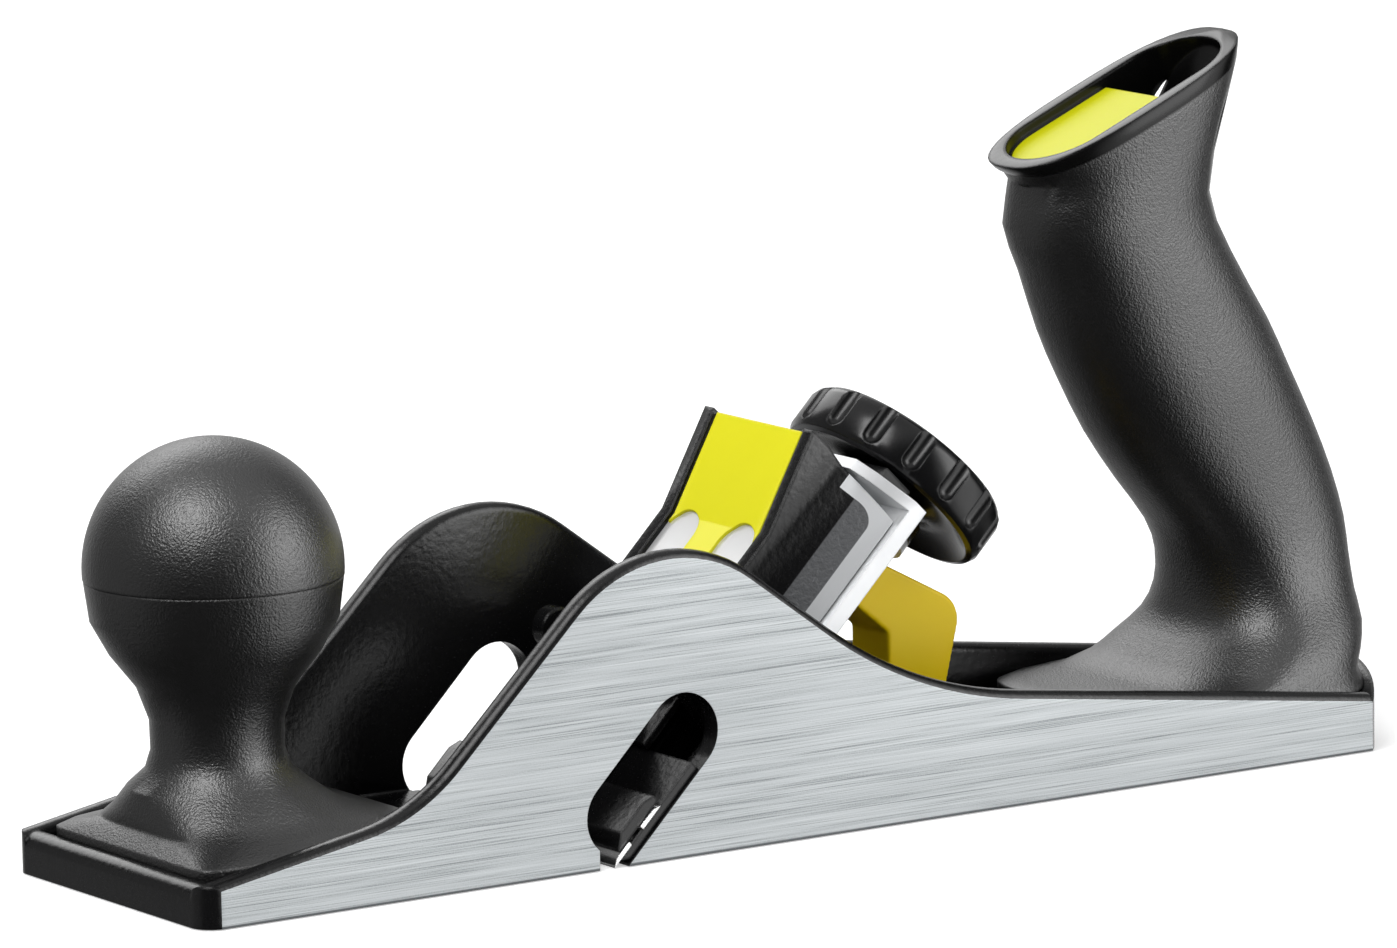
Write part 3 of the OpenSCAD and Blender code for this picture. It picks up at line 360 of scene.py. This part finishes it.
def metalMaterial(name, look):
    made, tree, coords = newMaterial(name)
    drawn = add(tree, "ShaderNodeMapping", {
        "Vector": coords, "Rotation": look.get("turn", (0.0, 0.0, 0.0)),
        "Scale": tuple(perMetre(size) for size in look["grainMm"])})
    lines = add(tree, "ShaderNodeTexNoise", {"Vector": drawn, "Scale": 1.0, "Detail": 3.0, "Roughness": 0.6})
    base = setStops(add(tree, "ShaderNodeValToRGB", {"Fac": lines}), [
        (0.3, look["colour"]), (0.7, look["pale"])])
    # Convex edges get the pale edge colour, a painted highlight
    edgeHighlighted = add(tree, "ShaderNodeMix", {
        "Factor": edgeHighlightMask(tree), 6: base, 7: paint(look["edge"])}, data_type="RGBA")
    rough = add(tree, "ShaderNodeMapRange", {
        "Value": lines, "To Min": look["rough"] + 0.06, "To Max": look["rough"] - 0.06})
    skin = add(tree, "ShaderNodeBsdfPrincipled", {
        "Base Color": edgeHighlighted, "Metallic": look.get("metallic", 1.0), "Roughness": rough,
        "Normal": bump(tree, lines, look["depthMm"], 0.5)})
    add(tree, "ShaderNodeOutputMaterial", {"Surface": skin})
    return made

bedTurn = (0.0, math.radians(45), 0.0)
looks = {
    "black_grip": mouldedGrip(),
    "black_lacquer": blackEnamel(),
    "ground_body": groundCasting(),
    "cap_casting": leverCapCasting(),
    "frog_casting": frogCasting(),
    # Injection-moulded polypropylene: flat bright yellow with a soft shine
    "yellow_plastic": plasticMaterial("mouldedYellowPolypropylene", {
        "colour": "#dadb08", "pale": "#e0e110", "sheen": 0.2, "cloudMm": 12.0, "grainMm": 0.7,
        "depthMm": 0.01, "rough": 0.38}),
    # Yellow enamel filled in on the cap: flat, bright and slightly glossy
    "yellow_label": plasticMaterial("yellowEnamel", {
        "colour": "#f4ee12", "pale": "#f8f31c", "sheen": 0.25, "cloudMm": 9.0, "grainMm": 1.2,
        "depthMm": 0.008, "rough": 0.3}),
    # Moulded black acetal wheel: smooth skin with a high shine
    "black_wheel": plasticMaterial("mouldedBlackAcetal", {
        "colour": "#0c0c0d", "pale": "#131314", "cloudMm": 7.0, "grainMm": 0.5,
        "depthMm": 0.008, "rough": 0.2}),
    # Each metal's edge colour below is a painted highlight along its convex edges
    # Bright zinc plate on turned steel: pale and shiny
    "zinc_screw": metalMaterial("brightZincPlate", {
        "colour": "#b4b6ba", "pale": "#d8dadd", "edge": "#f0f0f0", "grainMm": (0.4, 0.4, 0.4),
        "depthMm": 0.004, "rough": 0.26}),
    # Ground tool steel, with the grinding lines across the blade
    "blade_steel": metalMaterial("groundBladeSteel", {
        "colour": "#aeb1b5", "pale": "#dfe1e4", "edge": "#ffffff", "grainMm": (0.3, 6.0, 0.3),
        "turn": bedTurn, "depthMm": 0.003, "rough": 0.24}),
    # Zinc die casting with ground edges: bright with a soft cloud
    "bright_casting": metalMaterial("satinZincCasting", {
        "colour": "#cdcfd1", "pale": "#e6e7e8", "edge": "#fafafa", "metallic": 0.5,
        "grainMm": (2.0, 0.5, 2.0), "turn": bedTurn, "depthMm": 0.01, "rough": 0.3}),
    # Spring steel strip, brushed along its length to a grey satin
    "bright_plate": metalMaterial("brushedSpringSteel", {
        "colour": "#a2a4a6", "pale": "#bcbebf", "edge": "#e8e8e8", "metallic": 0.5,
        "grainMm": (9.0, 0.35, 9.0), "turn": bedTurn, "depthMm": 0.004, "rough": 0.34}),
    # Machined brass nut: warm yellow metal with turning lines
    "brass_nut": metalMaterial("machinedBrass", {
        "colour": "#b08a3c", "pale": "#d9b561", "edge": "#f2d98a", "grainMm": (0.3, 4.0, 0.3),
        "depthMm": 0.004, "rough": 0.28}),
    # Die-cast lever in golden enamel: warm yellow with a smooth shine
    "yellow_lever": plasticMaterial("goldenEnamelLever", {
        "colour": "#ffd806", "pale": "#ffe010", "sheen": 0.35, "cloudMm": 8.0, "grainMm": 1.0,
        "depthMm": 0.02, "rough": 0.32}),
}
print("materials made:", len(looks))

slotOf = {part["node"]: part["material_slot"] for part in frame["record"]["subparts"]}
lookOf = dict(
    slotOf, lateral_lever="yellow_lever", lever_cap="cap_casting", frog="frog_casting",
    cap_pin="black_lacquer")

def dress(piece, look):
    piece.data.materials.clear()
    piece.data.materials.append(looks[look])

# Geometry Nodes groups and their inputs

def newGroup(name, sockets):
    tree = bpy.data.node_groups.new(name, "GeometryNodeTree")
    tree.interface.new_socket("Geometry", in_out="INPUT", socket_type="NodeSocketGeometry")
    for label, kind in sockets.items():
        tree.interface.new_socket(label, in_out="INPUT", socket_type="NodeSocket" + kind)
    tree.interface.new_socket("Geometry", in_out="OUTPUT", socket_type="NodeSocketGeometry")
    return tree, add(tree, "NodeGroupInput").outputs

def useGroup(piece, tree, inputs):
    modifier = piece.modifiers.new(tree.name, "NODES")
    modifier.node_group = tree
    ids = {item.name: item.identifier for item in tree.interface.items_tree if item.in_out == "INPUT"}
    for name, value in inputs.items():
        modifier[ids[name]] = value

# Joins the loose triangles and shades them by angle
def shadeTree():
    tree, source = newGroup("shadeByAngle", {"Join distance": "Float", "Sharp angle": "Float"})
    joined = add(tree, "GeometryNodeMergeByDistance", {
        "Geometry": source["Geometry"], "Distance": source["Join distance"]})
    angle = add(tree, "GeometryNodeInputMeshEdgeAngle").outputs["Unsigned Angle"]
    soft = add(tree, "FunctionNodeCompare", {0: angle, 1: source["Sharp angle"]}, operation="LESS_THAN")
    faces = add(tree, "GeometryNodeSetShadeSmooth", {
        "Geometry": joined, "Shade Smooth": True}, domain="FACE")
    edges = add(tree, "GeometryNodeSetShadeSmooth", {"Geometry": faces, "Shade Smooth": soft}, domain="EDGE")
    add(tree, "NodeGroupOutput", {"Geometry": edges})
    return tree

shading = shadeTree()
finish = {"join": 0.00001, "sharpDeg": 32, "wheelSharpDeg": 38}

def shadeByAngle(piece, degrees):
    useGroup(piece, shading, {"Join distance": finish["join"], "Sharp angle": math.radians(degrees)})

def joinFaces(piece):
    weld = piece.modifiers.new("joinFaces", "WELD")
    weld.merge_threshold = finish["join"]

# Real rounding over the edges that the photo shows soft
def roundEdges(piece, widthMm, degrees, segments):
    joinFaces(piece)
    bevel = piece.modifiers.new("roundEdges", "BEVEL")
    bevel.width = widthMm / 1000
    bevel.segments = segments
    bevel.limit_method = "ANGLE"
    bevel.angle_limit = math.radians(degrees)
    bevel.use_clamp_overlap = True
    bevel.loop_slide = True
    bevel.harden_normals = False

# The cast lever is soft all over, so its surface is rebuilt finely and relaxed
def soften(piece, voxelMm, rounds):
    joinFaces(piece)
    remesh = piece.modifiers.new("fineSurface", "REMESH")
    remesh.mode = "VOXEL"
    remesh.voxel_size = voxelMm / 1000
    smooth = piece.modifiers.new("relax", "SMOOTH")
    smooth.iterations = rounds
    smooth.factor = 0.5

# Width in millimetres, angle in degrees and segments of each rounding; voxel and rounds of each softening
rounded = {"lever_cap": (0.5, 40, 3), "handle": (1.2, 48, 4)}
softened = {"lateral_lever": (0.3, 14)}

for name, cadNode in nodes.items():
    dress(cadNode, lookOf[name])
    if name in rounded:
        roundEdges(cadNode, *rounded[name])
    if name in softened:
        soften(cadNode, *softened[name])
    shadeByAngle(cadNode, finish["sharpDeg"])
print("nodes dressed")

# Depth wheel: turned blank with grip grooves cut round its rim

# Place, sizes and outline in millimetres; the outline is radius and place along the axis from the frog
wheelLook = {
    "start": 86.8, "axisN": -17.5, "radius": 19.2, "grooves": 15, "grooveRadius": 1.75,
    "grooveFrom": 2.9, "grooveLength": 12.0, "grooveSink": 0.35, "steps": 120,
    "cutterSegments": 20, "cutterRings": 14,
    "profile": [
        (2.02, 0.0), (6.0, 0.0), (9.0, 1.6), (13.0, 2.2), (16.2, 0.6), (17.6, 0.0), (18.6, 0.35),
        (19.2, 1.4), (19.2, 7.0), (18.8, 8.1), (17.9, 8.9), (16.0, 9.5), (14.2, 10.0), (12.6, 9.2),
        (11.4, 8.2), (9.0, 7.5), (6.6, 8.2), (5.4, 10.0), (2.02, 10.0)],
}

# Places a piece drawn along x up the bed, at a height square to it
def bedPlace(s, n):
    x = (bed["edge"] + (s - n) * bed["root"]) / 1000
    z = (s + n) * bed["root"] / 1000
    return Matrix.Translation((x, 0.0, z)) @ Matrix.Rotation(math.radians(-45), 4, "Y")

def wheelBlank():
    mesh = bmesh.new()
    rings = []
    for step in range(wheelLook["steps"]):
        turn = 2 * math.pi * step / wheelLook["steps"]
        rings.append([
            mesh.verts.new((x / 1000, r / 1000 * math.cos(turn), r / 1000 * math.sin(turn)))
            for r, x in wheelLook["profile"]])
    for first, second in zip(rings, rings[1:] + rings[:1]):
        count = len(first)
        for i in range(count):
            k = (i + 1) % count
            mesh.faces.new((first[i], first[k], second[k], second[i]))
    bmesh.ops.recalc_face_normals(mesh, faces=mesh.faces)
    data = bpy.data.meshes.new("depthWheel")
    mesh.to_mesh(data)
    mesh.free()
    piece = bpy.data.objects.new("depthWheel", data)
    bpy.context.scene.collection.objects.link(piece)
    return piece

# Capsule cutters on a circle, taken from the blank
def grooveTree():
    tree, source = newGroup("gripGrooves", {
        "Grooves": "Int", "Cutter radius": "Float", "Circle radius": "Float", "Groove start": "Float",
        "Material": "Material"})
    circle = add(tree, "GeometryNodeMeshCircle", {
        "Vertices": source["Grooves"], "Radius": source["Circle radius"]})
    quarter = (0.0, math.radians(90), 0.0)
    upright = add(tree, "GeometryNodeTransform", {"Geometry": circle, "Rotation": quarter})
    points = add(tree, "GeometryNodeMeshToPoints", {"Mesh": upright})
    ball = add(tree, "GeometryNodeMeshUVSphere", {
        "Segments": wheelLook["cutterSegments"], "Rings": wheelLook["cutterRings"],
        "Radius": source["Cutter radius"]})
    laid = add(tree, "GeometryNodeTransform", {"Geometry": ball, "Rotation": quarter})
    across = add(tree, "ShaderNodeSeparateXYZ", {"Vector": add(tree, "GeometryNodeInputPosition")})
    farHalf = add(tree, "FunctionNodeCompare", {0: across.outputs["X"], 1: 0.0001}, operation="GREATER_THAN")
    drawn = add(tree, "GeometryNodeSetPosition", {
        "Geometry": laid, "Selection": farHalf, "Offset": (wheelLook["grooveLength"] / 1000, 0.0, 0.0)})
    start = add(tree, "ShaderNodeCombineXYZ", {"X": source["Groove start"]})
    moved = add(tree, "GeometryNodeTransform", {"Geometry": drawn, "Translation": start})
    many = add(tree, "GeometryNodeInstanceOnPoints", {"Points": points, "Instance": moved})
    real = add(tree, "GeometryNodeRealizeInstances", {"Geometry": many})
    cut = add(tree, "GeometryNodeMeshBoolean", {
        "Mesh 1": source["Geometry"], "Mesh 2": real}, operation="DIFFERENCE")
    faced = add(tree, "GeometryNodeSetMaterial", {"Geometry": cut, "Material": source["Material"]})
    add(tree, "NodeGroupOutput", {"Geometry": faced})
    return tree

# Runs a group on a piece and keeps the result as a plain mesh
def bake(piece, tree, inputs):
    useGroup(piece, tree, inputs)
    bpy.context.view_layer.update()
    ready = piece.evaluated_get(bpy.context.evaluated_depsgraph_get())
    plain = bpy.data.meshes.new_from_object(ready)
    piece.modifiers.clear()
    piece.data = plain

def makeWheel():
    piece = wheelBlank()
    bake(piece, grooveTree(), {
        "Grooves": wheelLook["grooves"], "Cutter radius": wheelLook["grooveRadius"] / 1000,
        "Circle radius": (wheelLook["radius"] + wheelLook["grooveSink"]) / 1000,
        "Groove start": wheelLook["grooveFrom"] / 1000, "Material": looks["black_wheel"]})
    piece.data.transform(bedPlace(wheelLook["start"], wheelLook["axisN"]))
    shadeByAngle(piece, finish["wheelSharpDeg"])
    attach(piece, "wheel")
    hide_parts("depth_wheel")

makeWheel()
print("wheel made")

# Camera, floor and light

cameraLook = {
    "azimuth": 33.661, "elevation": 9.926, "roll": 0.971, "lens": 272.5, "sensor": 36.0,
    "place": (-0.96345, -1.4365, 0.3588),
}

def makeCamera():
    az, el, roll = (math.radians(cameraLook[key]) for key in ("azimuth", "elevation", "roll"))
    ahead = Vector((math.sin(az) * math.cos(el), math.cos(az) * math.cos(el), -math.sin(el)))
    right = Vector((math.cos(az), -math.sin(az), 0.0))
    up = Vector((math.sin(az) * math.sin(el), math.cos(az) * math.sin(el), math.cos(el)))
    right, up = math.cos(roll) * right - math.sin(roll) * up, math.sin(roll) * right + math.cos(roll) * up
    data = bpy.data.cameras.new("photoCamera")
    data.lens = cameraLook["lens"]
    data.sensor_width = cameraLook["sensor"]
    data.sensor_fit = "HORIZONTAL"
    data.clip_start, data.clip_end = 0.05, 20.0
    camera = bpy.data.objects.new("photoCamera", data)
    turned = Matrix((right, up, -ahead)).transposed().to_4x4()
    camera.matrix_world = Matrix.Translation(cameraLook["place"]) @ turned
    bpy.context.scene.collection.objects.link(camera)
    bpy.context.scene.camera = camera

lamps = [
    {"name": "rightBox", "place": (0.75, -1.05, 0.55), "size": (0.7, 0.9), "watts": 4.9},
    {"name": "topLeft", "place": (-0.75, -0.35, 1.05), "size": (0.7, 0.7), "watts": 9.0},
    {"name": "behind", "place": (0.1, 1.15, 0.9), "size": (1.1, 0.7), "watts": 6.0},
]

def makeLamps():
    for lamp in lamps:
        data = bpy.data.lights.new(lamp["name"], "AREA")
        data.shape = "RECTANGLE"
        data.size, data.size_y = lamp["size"]
        data.energy = lamp["watts"]
        light = bpy.data.objects.new(lamp["name"], data)
        light.location = lamp["place"]
        aim = Vector((0.0, 0.0, 0.04)) - Vector(lamp["place"])
        light.rotation_euler = aim.to_track_quat("-Z", "Y").to_euler()
        bpy.context.scene.collection.objects.link(light)

# Strength of each bright panel, and for each one where it starts and where it is full
studioLook = {
    "front": 0.03, "left": 0.22, "right": 1.6, "back": 0.75, "top": 0.6, "fill": 0.42,
    "backFrom": (-0.6, -0.9), "rightFrom": (0.6, 0.85), "rightAhead": (-0.35, 0.0),
    "leftFrom": (-0.6, -0.85), "topFrom": (0.55, 0.8),
}

# White room as mirrors see it: dark behind the camera, bright panels at the sides, the back and above
def makeWorld():
    world = bpy.data.worlds.new("studio")
    world.use_nodes = True
    tree = world.node_tree
    tree.nodes.clear()
    az = math.radians(cameraLook["azimuth"])
    toCamera, toRight = (-math.sin(az), -math.cos(az), 0.0), (math.cos(az), -math.sin(az), 0.0)
    ray = add(tree, "ShaderNodeTexCoord").outputs["Generated"]
    facing, rightward, upward = (
        add(tree, "ShaderNodeVectorMath", {0: ray, 1: axis}, operation="DOT_PRODUCT")
        for axis in (toCamera, toRight, (0.0, 0.0, 1.0)))
    back = add(tree, "ShaderNodeMapRange", span(facing, *studioLook["backFrom"], 0.0, studioLook["back"]))
    behind = add(tree, "ShaderNodeMath", {0: studioLook["front"], 1: back}, operation="ADD")
    side = add(tree, "ShaderNodeMapRange", span(rightward, *studioLook["rightFrom"]))
    ahead = add(tree, "ShaderNodeMapRange", span(facing, *studioLook["rightAhead"]))
    atRight = add(tree, "ShaderNodeMath", {0: side, 1: ahead}, operation="MULTIPLY")
    right = add(tree, "ShaderNodeMath", {0: atRight, 1: studioLook["right"]}, operation="MULTIPLY")
    left = add(tree, "ShaderNodeMapRange", span(rightward, *studioLook["leftFrom"], 0.0, studioLook["left"]))
    top = add(tree, "ShaderNodeMapRange", span(upward, *studioLook["topFrom"], 0.0, studioLook["top"]))
    light = behind
    for panel in (right, left, top):
        light = add(tree, "ShaderNodeMath", {0: light, 1: panel}, operation="MAXIMUM")
    path = add(tree, "ShaderNodeLightPath").outputs
    seen = add(tree, "ShaderNodeMath", {
        0: path["Is Camera Ray"], 1: path["Is Transmission Ray"]}, operation="MAXIMUM")
    white = paint("#ffffff")
    fill = add(tree, "ShaderNodeBackground", {"Color": white, "Strength": studioLook["fill"]})
    mirrored = add(tree, "ShaderNodeBackground", {"Color": white, "Strength": light})
    backdrop = add(tree, "ShaderNodeBackground", {"Color": white, "Strength": 1.0})
    first = add(tree, "ShaderNodeMixShader", {0: path["Is Glossy Ray"], 1: fill, 2: mirrored})
    last = add(tree, "ShaderNodeMixShader", {0: seen, 1: first, 2: backdrop})
    add(tree, "ShaderNodeOutputWorld", {"Surface": last})
    bpy.context.scene.world = world

floorLook = {"size": 6.0, "level": -0.0002, "colour": "#f2f2f2", "glow": 0.45}

# Pale matt floor that keeps its shadow and is not seen in the pieces' reflections
def makeFloor():
    bpy.ops.mesh.primitive_plane_add(size=floorLook["size"], location=(0.0, 0.0, floorLook["level"]))
    floor = bpy.context.active_object
    floor.name = "floor"
    made = bpy.data.materials.new("paleFloor")
    made.use_nodes = True
    tree = made.node_tree
    tree.nodes.clear()
    path = add(tree, "ShaderNodeLightPath").outputs
    matt = add(tree, "ShaderNodeBsdfDiffuse", {"Color": paint(floorLook["colour"])})
    glow = add(tree, "ShaderNodeEmission", {"Color": paint("#ffffff"), "Strength": floorLook["glow"]})
    both = add(tree, "ShaderNodeAddShader", {0: matt, 1: glow})
    mixed = add(tree, "ShaderNodeMixShader", {0: path["Is Camera Ray"], 1: matt, 2: both})
    clear = add(tree, "ShaderNodeBsdfTransparent")
    last = add(tree, "ShaderNodeMixShader", {0: path["Is Glossy Ray"], 1: mixed, 2: clear})
    add(tree, "ShaderNodeOutputMaterial", {"Surface": last})
    floor.data.materials.append(made)

makeCamera()
makeLamps()
makeWorld()
makeFloor()
bpy.context.scene.view_settings.view_transform = "Standard"
print("camera, floor and light made")
